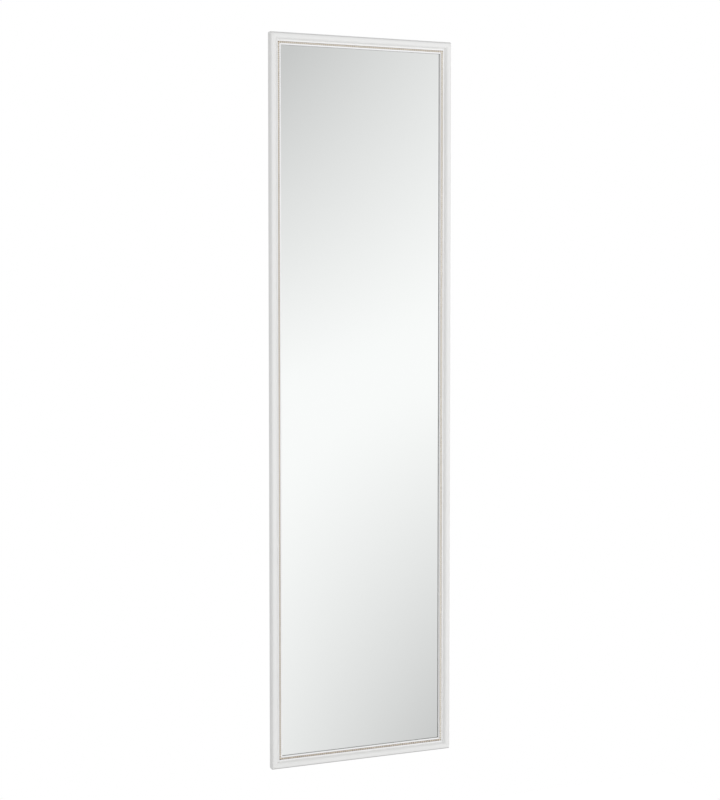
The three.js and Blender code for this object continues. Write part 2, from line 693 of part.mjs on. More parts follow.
const corners = ['top_right', 'bottom_right', 'bottom_left', 'top_left'];
corners.forEach((place, quarter) => {
  const corner = new THREE.Group();
  const signX = place.endsWith('right') ? 1 : -1;
  const signZ = place.startsWith('top') ? 1 : -1;
  corner.position.set((signX * FRAME_WIDTH) / 2, 0, (signZ * FRAME_HEIGHT) / 2);
  corner.rotation.y = (quarter * Math.PI) / 2;
  corner.add(named(`${place}_corner_nail`, nailBody(0), steel()));
  frame.add(corner);
  const bumper = named(`${place}_bumper`, bumperBody(), rubber());
  bumper.position.x = signX * (FRAME_WIDTH / 2 - BUMPER_INWARD);
  bumper.position.z = signZ * (FRAME_HEIGHT / 2 - BUMPER_END_INSET);
  frame.add(bumper);
});

const halfGlass = [-GLASS_WIDTH / 2, GLASS_WIDTH / 2];
const tallGlass = [-GLASS_HEIGHT / 2, GLASS_HEIGHT / 2];
const sheets = [
  ['mirror_glass', GLASS_BACK, GLASS_THICKNESS, silvered()],
  ['liner_sheet', LINER_BACK, LINER_THICKNESS, card()],
  ['backing_board', BOARD_BACK, BOARD_THICKNESS, hardboard()],
];
for (const [name, back, thickness, material] of sheets) {
  frame.add(named(name, boxBetween(halfGlass, [-back - thickness, -back], tallGlass), material));
}

for (const [hand, x] of hangerPlaces) {
  const hanger = new THREE.Group();
  hanger.position.x = x;
  mirror.add(hanger);
  hanger.add(named(`${hand}_hanger_sleeve`, sleeveBody(), steel()));
  earScrewPlaces.forEach((screwX, i) => {
    const screw = named(`${hand}_sleeve_screw_${i + 1}`, sleeveScrew(), steel());
    screw.position.set(screwX, CAVITY_FRONT + SHEET_GAP, EAR_SCREW_HEIGHT);
    hanger.add(screw);
  });
  hanger.add(named(`${hand}_hanger_strap`, strapBody(), steel()));
  hanger.add(named(`${hand}_seat_pad`, seatPadBody(), foam()));
  hanger.add(named(`${hand}_lip_pad`, lipPadBody(), foam()));
  const lock = named(`${hand}_lock_screw`, lockScrewBody(), steel());
  lock.position.z = LOCK_HEIGHT;
  hanger.add(lock);
}

export default mirror;
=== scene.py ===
import json
import math

import bmesh
import bpy
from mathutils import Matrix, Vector


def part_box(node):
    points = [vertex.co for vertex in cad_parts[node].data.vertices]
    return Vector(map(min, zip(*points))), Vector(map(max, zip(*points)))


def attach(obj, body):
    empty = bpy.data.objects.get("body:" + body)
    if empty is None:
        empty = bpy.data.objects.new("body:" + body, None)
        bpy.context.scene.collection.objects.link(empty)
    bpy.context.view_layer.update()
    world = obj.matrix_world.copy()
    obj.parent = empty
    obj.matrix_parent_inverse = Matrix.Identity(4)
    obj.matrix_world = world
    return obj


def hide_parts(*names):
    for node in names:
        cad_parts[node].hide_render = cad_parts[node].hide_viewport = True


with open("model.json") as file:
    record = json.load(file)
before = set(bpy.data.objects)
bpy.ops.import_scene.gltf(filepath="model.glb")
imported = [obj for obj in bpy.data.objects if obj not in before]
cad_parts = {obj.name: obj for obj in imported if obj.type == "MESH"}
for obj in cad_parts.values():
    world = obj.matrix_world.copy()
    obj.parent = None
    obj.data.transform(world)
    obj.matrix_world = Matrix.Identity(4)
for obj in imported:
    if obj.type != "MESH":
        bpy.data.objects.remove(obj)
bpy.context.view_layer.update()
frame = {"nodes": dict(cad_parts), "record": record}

# A tall narrow mirror with a white moulded frame, an inner row of small ivory beads and
# two sliding steel hangers. Lengths are in metres, most of them written as millimetres
# times MM. "Inward" is the distance from the frame's outer edge towards the glass, and
# "height" is measured forwards from the frame's back plane.

MM = 0.001

# ---------------------------------------------------------------- camera

IMAGE_HEIGHT_PIXELS = 800
FOCAL_PIXELS = 1518.8
SENSOR_MM = 36.0
CAMERA_PLACE = (-0.9572, -2.4487, -0.4036)
CAMERA_YAW = math.radians(21.407)  # to the right of the mirror's own axis
CAMERA_PITCH = math.radians(-2.606)
CAMERA_SHIFT = -0.0625  # of the image's height

# ---------------------------------------------------------------- stage and light

DOOR_HEIGHT = 2.032  # the floor is this far below the door's top edge
FLOOR_HALF = 1.8
FLOOR_COLOUR = 0.9
FLOOR_GLOW = (0.42, 0.62)  # added in what the camera sees, at the floor's middle and rim
MIRRORED_GLOW = 0.55  # share of it that is left in polished surfaces
FLOOR_GLOW_START = 0.3  # of the floor's half width, where the glow begins to rise
KEY_BEARING = math.radians(43)  # to the right of straight in front
KEY_SHARE = 0.34  # of full white, on a surface that faces the lamp
FILL_BEARING = math.radians(-65)  # to the left
FILL_SHARE = 0.18
LAMP_LIFT = math.radians(6)
LAMP_DISTANCE = 3.2
LAMP_SIZE = 1.4
AMBIENT = 0.90  # of full white, from straight ahead and behind
AMBIENT_FALL = (0.3, 0.0, 1.0)  # how much of it is missing along each axis

# What the mirror sees: a pale wall that darkens towards two corners. The numbers are for
# directions as slopes right and up of the middle of the mirrored view.
WALL_WHITE = 0.965
WALL_UPPER = (0.0050, -0.628, 1.470, -6.28)  # constant, right, up, right times up
WALL_LOWER = (-0.0574, 0.297, -1.2208, -7.81)
WALL_SOFTNESS = 0.02
WALL_DARKEST = 0.58
WALL_RIGHT_LIMIT = 0.07
WALL_UP_LIMITS = (-0.31, 0.22)
WALL_NEAREST = 0.3  # least share of a direction that points ahead
GLASS_COLOUR = (0.895, 0.911, 0.903)
WALL_FADE = (0.0, 0.45)  # how far ahead a direction points, where the wall begins and is whole
BACK_GLOW = (0.35, 0.75)  # what polished metal sees from below and from above
BACK_LIFTS = (-0.5, 0.8)  # the upward parts of the directions that see these two

# ---------------------------------------------------------------- moulding

BACK_PLANE = -9.5 * MM  # y of the frame's back
MOULDING_WIDTH = 20.5 * MM
REBATE_INWARD = 13.3 * MM
REBATE_DEPTH = 5.4 * MM
LIP_FRONT = 6.3 * MM
CREST_INWARD = 5.6 * MM
CREST = 12.6 * MM
CORNER_ROUND = 1.7 * MM
SHOULDER = 11.4 * MM
BAND_END_INWARD = 10.9 * MM
BAND_END = 9.7 * MM
BAND_FULLNESS = 0.7
VALLEY_INWARD = 11.9 * MM
VALLEY = 7.3 * MM
VALLEY_ROUND = 0.25 * MM
RIDGE = 7.9 * MM
RIDGE_WIDTH = 1.6 * MM
CHANNEL_OUTER = 14.9 * MM
CHANNEL_INNER = 17.9 * MM
CHANNEL_FLOOR = 6.4 * MM
LIP_CREST = 6.8 * MM
SIGHT_ROUND = 0.7 * MM
BACK_ROUND = 0.5 * MM
MITRE_TRIM = 0.05 * MM  # off each end of a side
CORNER_RADIUS = 2.0 * MM  # of the frame's outline, rubbed down at the mitres
CORNER_STATIONS = 5
STATION_SPACING = 100 * MM
PAINT_WRAP = 3 * MM  # how far the paint runs round onto the back
MITRE_SPREAD = 0.3 * CORNER_RADIUS  # the last stations' reach from a mitre, inside the corner
NEAR = 0.1 * MM  # slack in telling by its place what a point belongs to
PAINTED_EDGE_SHADE_MIDDLE = 0.5 * CORNER_ROUND  # inward, where the painted shade along the outer edge is darkest
PAINTED_EDGE_SHADE_REACH = 1.2 * CORNER_ROUND  # to both sides of it
PAINTED_EDGE_SHADE_LOWEST = SHOULDER - 3 * CORNER_ROUND
NAIL_THICKNESS = 0.6 * MM
NAIL_PLAY = 0.06 * MM

# ---------------------------------------------------------------- beads

BEAD_DIAMETER = 2.8 * MM
BEAD_PITCH = 3.5 * MM  # nearly: a whole number of beads fills each side
BEAD_LENGTH = 2.5 * MM  # of one bead along the row
BEAD_NECK = 0.2  # of a bead's radius, between two beads
BEAD_LINE = (CHANNEL_OUTER + CHANNEL_INNER) / 2  # inward, of the row's middle
BEAD_SEAT = 6.5 * MM  # height of the row's flat underside
BEAD_RINGS = 14  # stations from one neck to the next
BEAD_SIDES = 10  # steps over the half round
BEAD_SHARP_ANGLE = math.radians(80)
DARK_CORNER_REACH = 3.5 * MM  # of the darkest beads and wash, beside the mitres of the left corners
# How much painted shade greys the outer edge of each side, how brown its wash is, as
# painted shade over the patina, and how much painted shade darkens its lip, all 0 to 1.
SIDE_WASH_AND_PAINTED_SHADE = {
    "top": (0.1, 0.62, 0.0),
    "right": (0.0, 0.0, 0.45),
    "bottom": (0.95, 1.0, 0.0),
    "left": (0.1, 0.56, 0.0),
}

# ---------------------------------------------------------------- glass and pads

SILVER_HEIGHT = 3.9 * MM  # where the silvering seems to lie, seen through the glass
PANE_CORNER = 1.0 * MM
PANE_ARRIS = 0.25 * MM
PAD_CORNER = 2.0 * MM
PAD_EDGE = 0.35 * MM
ARC_STEPS = 4

SHARP_ANGLE = math.radians(33)


# ---------------------------------------------------------------- shader nodes


class Nodes:
    """Short calls that add nodes to a tree and join them."""

    def __init__(self, tree):
        self.tree = tree

    def put(self, socket, value):
        if isinstance(value, bpy.types.NodeSocket):
            self.tree.links.new(value, socket)
        elif socket.type == "RGBA":
            socket.default_value = (*value, 1)
        else:
            socket.default_value = value

    def add(self, kind, inputs=(), **settings):
        made = self.tree.nodes.new("ShaderNode" + kind)
        for key, value in settings.items():
            setattr(made, key, value)
        for key, value in dict(inputs).items():
            self.put(made.inputs[key], value)
        return made

    def math(self, operation, a, b=0.0):
        return self.add("Math", {0: a, 1: b}, operation=operation).outputs[0]

    def ramp(self, value, low, high, to_low=0.0, to_high=1.0):
        """A smooth step of value from low to high, scaled to run from to_low to to_high."""
        inputs = {0: value, 1: low, 2: high, 3: to_low, 4: to_high}
        return self.add("MapRange", inputs, interpolation_type="SMOOTHSTEP").outputs[0]

    def mix(self, share, a, b):
        return self.add("Mix", {0: share, 6: a, 7: b}, data_type="RGBA").outputs[2]

    def dot(self, vector, other):
        made = self.add("VectorMath", {0: vector, 1: other}, operation="DOT_PRODUCT")
        return made.outputs["Value"]

    def carried(self, name, output="Fac"):
        return self.add("Attribute", attribute_name=name).outputs[output]

    def stretched(self, vector, x, y, z):
        return self.add("VectorMath", {0: vector, 1: (x, y, z)}, operation="MULTIPLY").outputs[0]

    def noise(self, vector, scale, detail=3.0, rough=0.5):
        inputs = {"Vector": vector, "Scale": scale, "Detail": detail, "Roughness": rough}
        return self.add("TexNoise", inputs).outputs["Fac"]


class Finish(Nodes):
    """A material and its main shader. Values that are the same all over are set directly,
    and the colour and roughness given here hold where no nodes are fed in."""

    def __init__(self, name, colour, roughness, metallic=0.0):
        self.material = bpy.data.materials.new(name)
        self.material.use_nodes = True
        super().__init__(self.material.node_tree)
        self.shader = self.tree.nodes["Principled BSDF"]
        self.feed("Base Color", colour)
        self.feed("Roughness", roughness)
        self.feed("Metallic", metallic)
        self.place = self.add("TexCoord").outputs["Object"]

    def feed(self, socket, value):
        self.put(self.shader.inputs[socket], value)

    def relief(self, height, strength, depth):
        made = self.add("Bump", {"Height": height, "Strength": strength, "Distance": depth})
        self.feed("Normal", made.outputs["Normal"])


# ---------------------------------------------------------------- finishes


def white_paint():
    """Satin paint with faint brush marks, with a painted highlight on the ridge and the lip,
    and painted shade in grey along the outer edge and on the right side's lip. A tan to
    brown wash lies in the bead channel, browner as painted shade on the shaded sides, and
    the paint stops in an uneven edge on the back, where the wood is bare."""
    made = Finish("white_paint", (0.83, 0.825, 0.81), 0.42)
    lay = made.carried("lay", "Vector")
    brush = made.noise(made.stretched(lay, 12, 900, 900), 1, 4)
    cloud = made.noise(made.place, 9, 2)
    paint = made.mix(cloud, (0.84, 0.84, 0.835), (0.88, 0.88, 0.872))
    ring = made.noise(made.stretched(lay, 14, 700, 700), 1, 5, 0.65)
    wood = made.mix(ring, (0.34, 0.215, 0.115), (0.58, 0.42, 0.26))
    ragged = made.noise(made.place, 260, 4, 0.6)
    # painted highlight: lighter paint on the ridge and the lip
    paint = made.mix(made.carried("painted_highlight"), paint, (0.94, 0.94, 0.95))
    # painted shade: grey along the outer edge and on the right side's lip
    paint = made.mix(made.carried("painted_shade"), paint, (0.41, 0.40, 0.39))
    broken = made.ramp(ragged, 0.2, 0.7, 0.7, 1.0)
    wash_share = made.math("MULTIPLY", made.carried("wash"), broken)
    # the wash is patina; how brown it is from side to side is painted shade
    wash = made.mix(made.carried("patina_and_painted_shade"), (0.60, 0.51, 0.38), (0.08, 0.04, 0.014))
    body = made.mix(wash_share, paint, wash)
    bare = made.math("ADD", made.carried("bare"), made.math("MULTIPLY", ragged, 0.8))
    bare = made.ramp(bare, 0.95, 1.05)
    made.feed("Base Color", made.mix(bare, body, wood))
    gloss = made.ramp(cloud, 0.3, 0.7, 0.38, 0.47)
    made.feed("Roughness", made.math("ADD", gloss, made.math("MULTIPLY", bare, 0.35)))
    grain = made.noise(made.place, 900, 3)
    height = made.math("ADD", made.math("MULTIPLY", brush, 0.6), made.math("MULTIPLY", grain, 0.4))
    made.relief(height, 0.3, 0.06 * MM)
    return made.material


def ivory_bead():
    """Beads rubbed bright on top, with a tan to brown wash left low between them. Their tone
    runs from ivory to honey and their wash from tan to brown side by side, as painted shade
    laid over the patina: lighter on the lit right side, browner on the others."""
    made = Finish("ivory_bead", (0.78, 0.72, 0.60), 0.4)
    lift = made.carried("lift")
    patch = made.noise(made.place, 130, 3, 0.6)
    speck = made.noise(made.place, 1400, 3, 0.6)
    ivory = made.mix(patch, (0.90, 0.87, 0.80), (0.94, 0.92, 0.88))
    honey = made.mix(patch, (0.84, 0.75, 0.62), (0.90, 0.81, 0.69))
    # painted shade: tone and wash browner on the shaded sides, lighter on the lit right side
    tone = made.mix(made.carried("patina_and_painted_shade"), ivory, honey)
    brown = made.mix(speck, (0.08, 0.038, 0.012), (0.16, 0.085, 0.035))
    tan = made.mix(speck, (0.72, 0.65, 0.52), (0.84, 0.78, 0.66))
    wash = made.mix(made.carried("patina_and_painted_shade"), tan, brown)
    rubbed = made.math("ADD", lift, made.math("MULTIPLY", patch, 0.5))
    made.feed("Base Color", made.mix(made.ramp(rubbed, 0.25, 0.6), wash, tone))
    made.feed("Roughness", made.ramp(lift, 0.2, 0.9, 0.6, 0.32))
    made.relief(speck, 0.3, 0.05 * MM)
    return made.material


def silvered_glass():
    """Silver seen through clear glass that has the faintest haze."""
    made = Finish("silvered_glass", GLASS_COLOUR, 0.02, 1.0)
    haze = made.noise(made.place, 3, 4, 0.6)
    made.feed("Roughness", made.ramp(haze, 0.45, 0.8, 0.005, 0.025))
    return made.material


def zinc_steel():
    """Bright zinc plate: a cool sheen with a faint spangle and fine drawn lines."""
    made = Finish("zinc_steel", (0.62, 0.63, 0.65), 0.32, 1.0)
    spangle = made.noise(made.place, 260, 2)
    lines = made.noise(made.stretched(made.place, 2400, 2400, 40), 1, 3)
    made.feed("Base Color", made.mix(spangle, (0.55, 0.56, 0.58), (0.69, 0.70, 0.71)))
    made.feed("Roughness", made.ramp(lines, 0.25, 0.75, 0.25, 0.42))
    made.relief(lines, 0.12, 0.05 * MM)
    return made.material


def hardboard():
    """Pressed wood fibre, brown and slightly mottled."""
    made = Finish("hardboard", (0.30, 0.18, 0.10), 0.62)
    fibre = made.noise(made.stretched(made.place, 420, 420, 900), 1, 6, 0.7)
    cloud = made.noise(made.place, 7, 3)
    dark = made.mix(cloud, (0.21, 0.12, 0.062), (0.28, 0.168, 0.09))
    made.feed("Base Color", made.mix(made.ramp(fibre, 0.35, 0.75), dark, (0.44, 0.29, 0.17)))
    made.feed("Roughness", made.ramp(fibre, 0.3, 0.7, 0.5, 0.72))
    made.relief(fibre, 0.35, 0.1 * MM)
    return made.material


def card():
    """Grey-brown uncoated card."""
    made = Finish("card", (0.42, 0.36, 0.28), 0.9)
    fibre = made.noise(made.place, 700, 4)
    made.feed("Base Color", made.mix(fibre, (0.38, 0.325, 0.25), (0.47, 0.41, 0.32)))
    return made.material


def rubber():
    """Matte black rubber with a little bloom."""
    made = Finish("rubber", (0.035, 0.035, 0.037), 0.7)
    bloom = made.noise(made.place, 380, 4, 0.6)
    made.feed("Base Color", made.mix(bloom, (0.022, 0.022, 0.024), (0.055, 0.055, 0.057)))
    made.feed("Roughness", made.ramp(bloom, 0.3, 0.7, 0.58, 0.8))
    made.relief(made.noise(made.place, 2600, 2), 0.25, 0.05 * MM)
    return made.material


def foam():
    """Fine closed-cell foam."""
    made = Finish("pad", (0.80, 0.78, 0.72), 0.9)
    cells = made.add("TexVoronoi", {"Vector": made.place, "Scale": 2200.0}).outputs["Distance"]
    shade = made.ramp(cells, 0.1, 0.6)
    made.feed("Base Color", made.mix(shade, (0.70, 0.68, 0.62), (0.83, 0.81, 0.76)))
    made.relief(cells, 0.5, 0.1 * MM)
    return made.material


FINISHES = {
    "white_paint": white_paint(),
    "ivory_bead": ivory_bead(),
    "silvered_glass": silvered_glass(),
    "zinc_steel": zinc_steel(),
    "hardboard": hardboard(),
    "card": card(),
    "rubber": rubber(),
    "pad": foam(),
}

# ---------------------------------------------------------------- mesh helpers


def new_object(name, points, faces):
    """A closed mesh with its faces turned outwards."""
    mesh = bpy.data.meshes.new(name)
    mesh.from_pydata(points, [], faces)
    turned_out = bmesh.new()
    turned_out.from_mesh(mesh)
    bmesh.ops.recalc_face_normals(turned_out, faces=turned_out.faces)
    turned_out.to_mesh(mesh)
    turned_out.free()
    made = bpy.data.objects.new(name, mesh)
    bpy.context.scene.collection.objects.link(made)
    return made


def dress(made, slot):
    """Gives an object its finish and smooth shading."""
    made.data.materials.clear()
    made.data.materials.append(FINISHES[slot])
    made.data.shade_smooth()


def carry(made, name, kind, values):
    """Gives the mesh one value per point, under a name that its material reads."""
    attribute = made.data.attributes.new(name, kind, "POINT")
    key = "vector" if kind == "FLOAT_VECTOR" else "value"
    for item, value in zip(attribute.data, values):
        setattr(item, key, value)


def cut_away(made, cutters):
    """Subtracts the cutters, which are then removed."""
    for cutter in cutters:
        modifier = made.modifiers.new(cutter.name, "BOOLEAN")
        modifier.operation = "DIFFERENCE"
        modifier.solver = "EXACT"
        modifier.object = cutter
    whole = made.evaluated_get(bpy.context.evaluated_depsgraph_get())
    made.data = bpy.data.meshes.new_from_object(whole)
    made.modifiers.clear()
    for cutter in cutters:
        bpy.data.objects.remove(cutter)


class Outline:
    """A flat outline drawn from point to point, straight or along quadratic curves."""

    def __init__(self, start):
        self.points = [start]

    def line(self, *points):
        self.points += points

    def bend(self, control, end, steps):
        start = self.points[-1]
        for i in range(1, steps + 1):
            t = i / steps
            weights = (1 - t) ** 2, 2 * t * (1 - t), t ** 2
            corners = zip(start, control, end)
            self.points.append(tuple(sum(w * c for w, c in zip(weights, k)) for k in corners))


def rounded_slab(name, low, high, thin, corner, edge):
    """A slab whose outline has round corners and whose rims are eased over. Thin is the
    index of its thin axis."""
    wide, tall = (axis for axis in range(3) if axis != thin)
    thickness = high[thin] - low[thin]
    rim = [(2 * edge, 0.0)]
    for i in range(ARC_STEPS + 1):
        angle = (i / ARC_STEPS) * math.pi / 2
        rim.append((edge * (1 - math.sin(angle)), edge * (1 - math.cos(angle))))
    rim += [(inset, thickness - rise) for inset, rise in reversed(rim)]
    points = []
    for inset, rise in rim:
        radius = corner - inset
        for quarter in range(4):
            right, up = quarter in (0, 3), quarter in (0, 1)
            across = high[wide] - corner if right else low[wide] + corner
            along = high[tall] - corner if up else low[tall] + corner
            for i in range(ARC_STEPS + 1):
                angle = (quarter + i / ARC_STEPS) * math.pi / 2
                point = [0.0] * 3
                point[thin] = low[thin] + rise
                point[wide] = across + radius * math.cos(angle)
                point[tall] = along + radius * math.sin(angle)
                points.append(tuple(point))
    ring = 4 * (ARC_STEPS + 1)
    last = len(points) - ring
    faces = [list(range(ring)), list(range(last, last + ring))]
    for start in range(0, last, ring):
        for k in range(ring):
            nearby = (k + 1) % ring
            faces.append((start + k, start + nearby, start + ring + nearby, start + ring + k))
    return new_object(name, points, faces)


# ---------------------------------------------------------------- the four sides

rail_low, rail_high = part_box("top_rail")
FRAME_WIDTH = rail_high.x - rail_low.x
FRAME_TOP = rail_high.z
FRAME_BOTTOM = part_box("bottom_rail")[0].z
FRAME_HEIGHT = FRAME_TOP - FRAME_BOTTOM
FRAME_MIDDLE = (FRAME_TOP + FRAME_BOTTOM) / 2

# Each side has its name, its node, its length, its outer edge's distance from the frame's
# middle and its two corners. They go by quarter turns from the top, clockwise from in front.
SIDES = [
    ("top", "top_rail", FRAME_WIDTH, FRAME_HEIGHT / 2, ("top_left", "top_right")),
    ("right", "right_stile", FRAME_HEIGHT, FRAME_WIDTH / 2, ("top_right", "bottom_right")),
    ("bottom", "bottom_rail", FRAME_WIDTH, FRAME_HEIGHT / 2, ("bottom_left", "bottom_right")),
    ("left", "left_stile", FRAME_HEIGHT, FRAME_WIDTH / 2, ("top_left", "bottom_left")),
]


def moulding_section():
    """The moulding's outline as (inward, height) points, from its outer back corner round
    by the rebate, the lip, the bead channel, the ridge, the valley and the broad band."""
    ridge_outer = CHANNEL_OUTER - RIDGE_WIDTH
    ridge_middle = CHANNEL_OUTER - RIDGE_WIDTH / 2
    ridge_foot = (ridge_outer - RIDGE_WIDTH / 2, (RIDGE + VALLEY) / 2)
    band_slope = (BAND_END - VALLEY) / (BAND_END_INWARD - VALLEY_INWARD)
    band_foot = (VALLEY_INWARD - VALLEY_ROUND, VALLEY - VALLEY_ROUND * band_slope)
    band_control = CREST_INWARD + (BAND_END_INWARD - CREST_INWARD) * BAND_FULLNESS
    corner_slope = (CREST - SHOULDER) / (CREST_INWARD / 2 - CORNER_ROUND)
    drawn = Outline((0, BACK_ROUND))
    drawn.bend((0, 0), (BACK_ROUND, 0), steps=3)
    drawn.line((PAINT_WRAP, 0), (REBATE_INWARD, 0), (REBATE_INWARD, REBATE_DEPTH))
    drawn.line((MOULDING_WIDTH, REBATE_DEPTH), (MOULDING_WIDTH, LIP_FRONT - SIGHT_ROUND))
    drawn.bend((MOULDING_WIDTH, LIP_FRONT), (MOULDING_WIDTH - SIGHT_ROUND, LIP_FRONT), steps=6)
    drawn.bend((CHANNEL_INNER + SIGHT_ROUND, LIP_CREST), (CHANNEL_INNER, LIP_CREST), steps=8)
    drawn.line((CHANNEL_INNER, CHANNEL_FLOOR), (CHANNEL_OUTER, CHANNEL_FLOOR))
    drawn.line((CHANNEL_OUTER, (CHANNEL_FLOOR + RIDGE) / 2))
    drawn.bend((CHANNEL_OUTER, RIDGE), (ridge_middle, RIDGE), steps=8)
    drawn.bend((ridge_outer, RIDGE), ridge_foot, steps=8)
    valley_control = ((VALLEY_INWARD + ridge_foot[0]) / 2, VALLEY)
    drawn.bend(valley_control, (VALLEY_INWARD + VALLEY_ROUND, VALLEY), steps=8)
    drawn.bend((VALLEY_INWARD, VALLEY), band_foot, steps=4)
    drawn.line((BAND_END_INWARD, BAND_END))
    drawn.bend((band_control, CREST), (CREST_INWARD, CREST), steps=16)
    drawn.bend((CREST_INWARD / 2, CREST), (CORNER_ROUND, SHOULDER), steps=12)
    edge_control = (0, SHOULDER - CORNER_ROUND * corner_slope)
    drawn.bend(edge_control, (0, SHOULDER - 2 * CORNER_ROUND), steps=12)
    return drawn.points


def half_stations(length, inward):
    """(x, inward) from the middle of a side to its mitre. Close to the outer edge the
    stations follow the rounded corner of the frame's outline."""
    half = length / 2
    end = []
    for k in range(CORNER_STATIONS + 1):
        share = k / CORNER_STATIONS
        if inward < CORNER_RADIUS:
            reach = CORNER_RADIUS - inward
            angle = share * math.pi / 4
            x = half - CORNER_RADIUS + reach * math.sin(angle)
            end.append((x, CORNER_RADIUS - reach * math.cos(angle)))
        else:
            end.append((half - inward - MITRE_SPREAD * (1 - share), inward))
    mitre_x, mitre_inward = end[-1]
    end[-1] = (mitre_x - MITRE_TRIM, mitre_inward)
    count = round(half / STATION_SPACING)
    return [(end[0][0] * k / count, inward) for k in range(count)] + end


def side_mesh(length):
    """Points as (x, inward, height) and faces of one mitred side."""
    rows = []
    for inward, height in moulding_section():
        half = half_stations(length, inward)
        row = [(-x, i) for x, i in reversed(half[1:])] + half
        rows.append([(x, i, height) for x, i in row])
    stations = len(rows[0])
    faces = []
    for r in range(len(rows)):
        below = ((r + 1) % len(rows)) * stations
        for s in range(stations - 1):
            faces.append((r * stations + s, r * stations + s + 1, below + s + 1, below + s))
    faces.append([r * stations for r in range(len(rows))])
    faces.append([(r + 1) * stations - 1 for r in range(len(rows))])
    return [point for row in rows for point in row], faces


def turned(quarter, reach, x, inward, height):
    """Where a point of a side lies in the frame, once the side is turned into place."""
    angle = quarter * math.pi / 2
    out = reach - inward
    return (
        x * math.cos(angle) + out * math.sin(angle),
        BACK_PLANE - height,
        FRAME_MIDDLE - x * math.sin(angle) + out * math.cos(angle),
    )


def nail_slot(corner):
    """A cutter for the slot that a corner's bent nail is driven into."""
    low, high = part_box(corner + "_corner_nail")
    outward_x = 1 if corner.endswith("right") else -1
    outward_z = 1 if corner.startswith("top") else -1
    knee_x = (high.x if outward_x > 0 else low.x) + outward_x * NAIL_PLAY
    knee_z = (high.z if outward_z > 0 else low.z) + outward_z * NAIL_PLAY
    leg = high.x - low.x + 2 * NAIL_PLAY
    wall = NAIL_THICKNESS + 2 * NAIL_PLAY
    outline = [(0, 0), (leg, 0), (leg, wall), (wall, wall), (wall, leg), (0, leg)]
    points = []
    for y in (low.y - NAIL_PLAY, BACK_PLANE + MM):
        points += [(knee_x - outward_x * a, y, knee_z - outward_z * b) for a, b in outline]
    ring = len(outline)
    faces = [list(range(ring)), list(range(ring, 2 * ring))]
    faces += [(k, (k + 1) % ring, (k + 1) % ring + ring, k + ring) for k in range(ring)]
    return new_object(corner + "_nail_slot", points, faces)


def marks_and_painted_light_at(inward, height, painted_edge_shade, painted_lip_shade):
    """How much wash, painted highlight, painted shade and bare wood a point of a side shows."""
    in_channel = CHANNEL_OUTER - NEAR < inward < CHANNEL_INNER + NEAR
    wash = 1.0 if in_channel and height < CHANNEL_FLOOR + NEAR else 0.0
    by_ridge = CHANNEL_OUTER - RIDGE_WIDTH < inward < CHANNEL_OUTER + NEAR
    on_ridge = by_ridge and height > RIDGE - 2 * NEAR
    on_lip = inward > CHANNEL_INNER - NEAR and height > LIP_FRONT - NEAR
    # painted highlight on the ridge and the lip
    painted_highlight = 1.0 if on_ridge or on_lip else 0.0
    painted_shade = 0.0
    # painted shade darkens the lip, on the sides that are given some
    if on_lip:
        painted_shade = painted_lip_shade
    # painted shade greys the outer edge, more on some sides than others
    elif height > PAINTED_EDGE_SHADE_LOWEST:
        painted_shade = painted_edge_shade * max(0.0, 1 - abs(inward - PAINTED_EDGE_SHADE_MIDDLE) / PAINTED_EDGE_SHADE_REACH)
    behind = height < REBATE_DEPTH + NEAR and inward < REBATE_INWARD + NEAR
    bare = max(0.0, min(1.0, inward / PAINT_WRAP)) if behind else 0.0
    return wash, painted_highlight, painted_shade, bare


def make_side(quarter, prefix, node, length, reach, corners):
    """One side of the frame. Its points carry where they lie along it, its wash and bare wood, and
    its painted highlight and painted shade.
    """
    points, faces = side_mesh(length)
    placed = [turned(quarter, reach, *point) for point in points]
    made = new_object(prefix + "_moulding", placed, faces)
    cut_away(made, [nail_slot(corner) for corner in corners])
    dress(made, "white_paint")
    made.data.set_sharp_from_angle(angle=SHARP_ANGLE)
    # this side's painted shade on the edge and lip, and its wash brownness
    painted_edge_shade, wash_brown_and_painted_shade, painted_lip_shade = SIDE_WASH_AND_PAINTED_SHADE[prefix]
    lay, marks_and_painted_light = [], []
    for vertex in made.data.vertices:
        x, y, z = vertex.co
        height = BACK_PLANE - y
        along, out = (x, abs(z - FRAME_MIDDLE)) if quarter % 2 == 0 else (z, abs(x))
        inward = reach - out
        lay.append((along, inward, height))
        marks_and_painted_light.append(marks_and_painted_light_at(inward, height, painted_edge_shade, painted_lip_shade))
    for name, values in zip(("wash", "painted_highlight", "painted_shade", "bare"), zip(*marks_and_painted_light)):
        carry(made, name, "FLOAT", values)
    # this side's wash brownness: patina, with painted shade laid over it
    carry(made, "patina_and_painted_shade", "FLOAT", [wash_brown_and_painted_shade] * len(marks_and_painted_light))
    carry(made, "lay", "FLOAT_VECTOR", lay)
    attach(made, "frame")
    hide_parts(node)


# ---------------------------------------------------------------- the rows of beads


def bead_profile(length):
    """(x, radius) along a row of beads, from neck to neck."""
    count = round(length / BEAD_PITCH)
    pitch = length / count
    full = BEAD_DIAMETER / 2
    profile = []
    for station in range(count * BEAD_RINGS + 1):
        bead, ring = divmod(station, BEAD_RINGS)
        off_middle = (ring / BEAD_RINGS - 0.5) * pitch
        x = (bead + ring / BEAD_RINGS) * pitch - length / 2
        sphere = max(0.0, 1 - (2 * off_middle / BEAD_LENGTH) ** 2)
        profile.append((x, full * max(BEAD_NECK, math.sqrt(sphere))))
    return profile


def in_dark_corner(place):
    """Whether a bead's point is beside one of the two left mitres."""
    from_left = FRAME_WIDTH / 2 + place.x
    from_end = FRAME_HEIGHT / 2 - abs(place.z - FRAME_MIDDLE)
    return max(from_left, from_end) < BEAD_LINE + DARK_CORNER_REACH


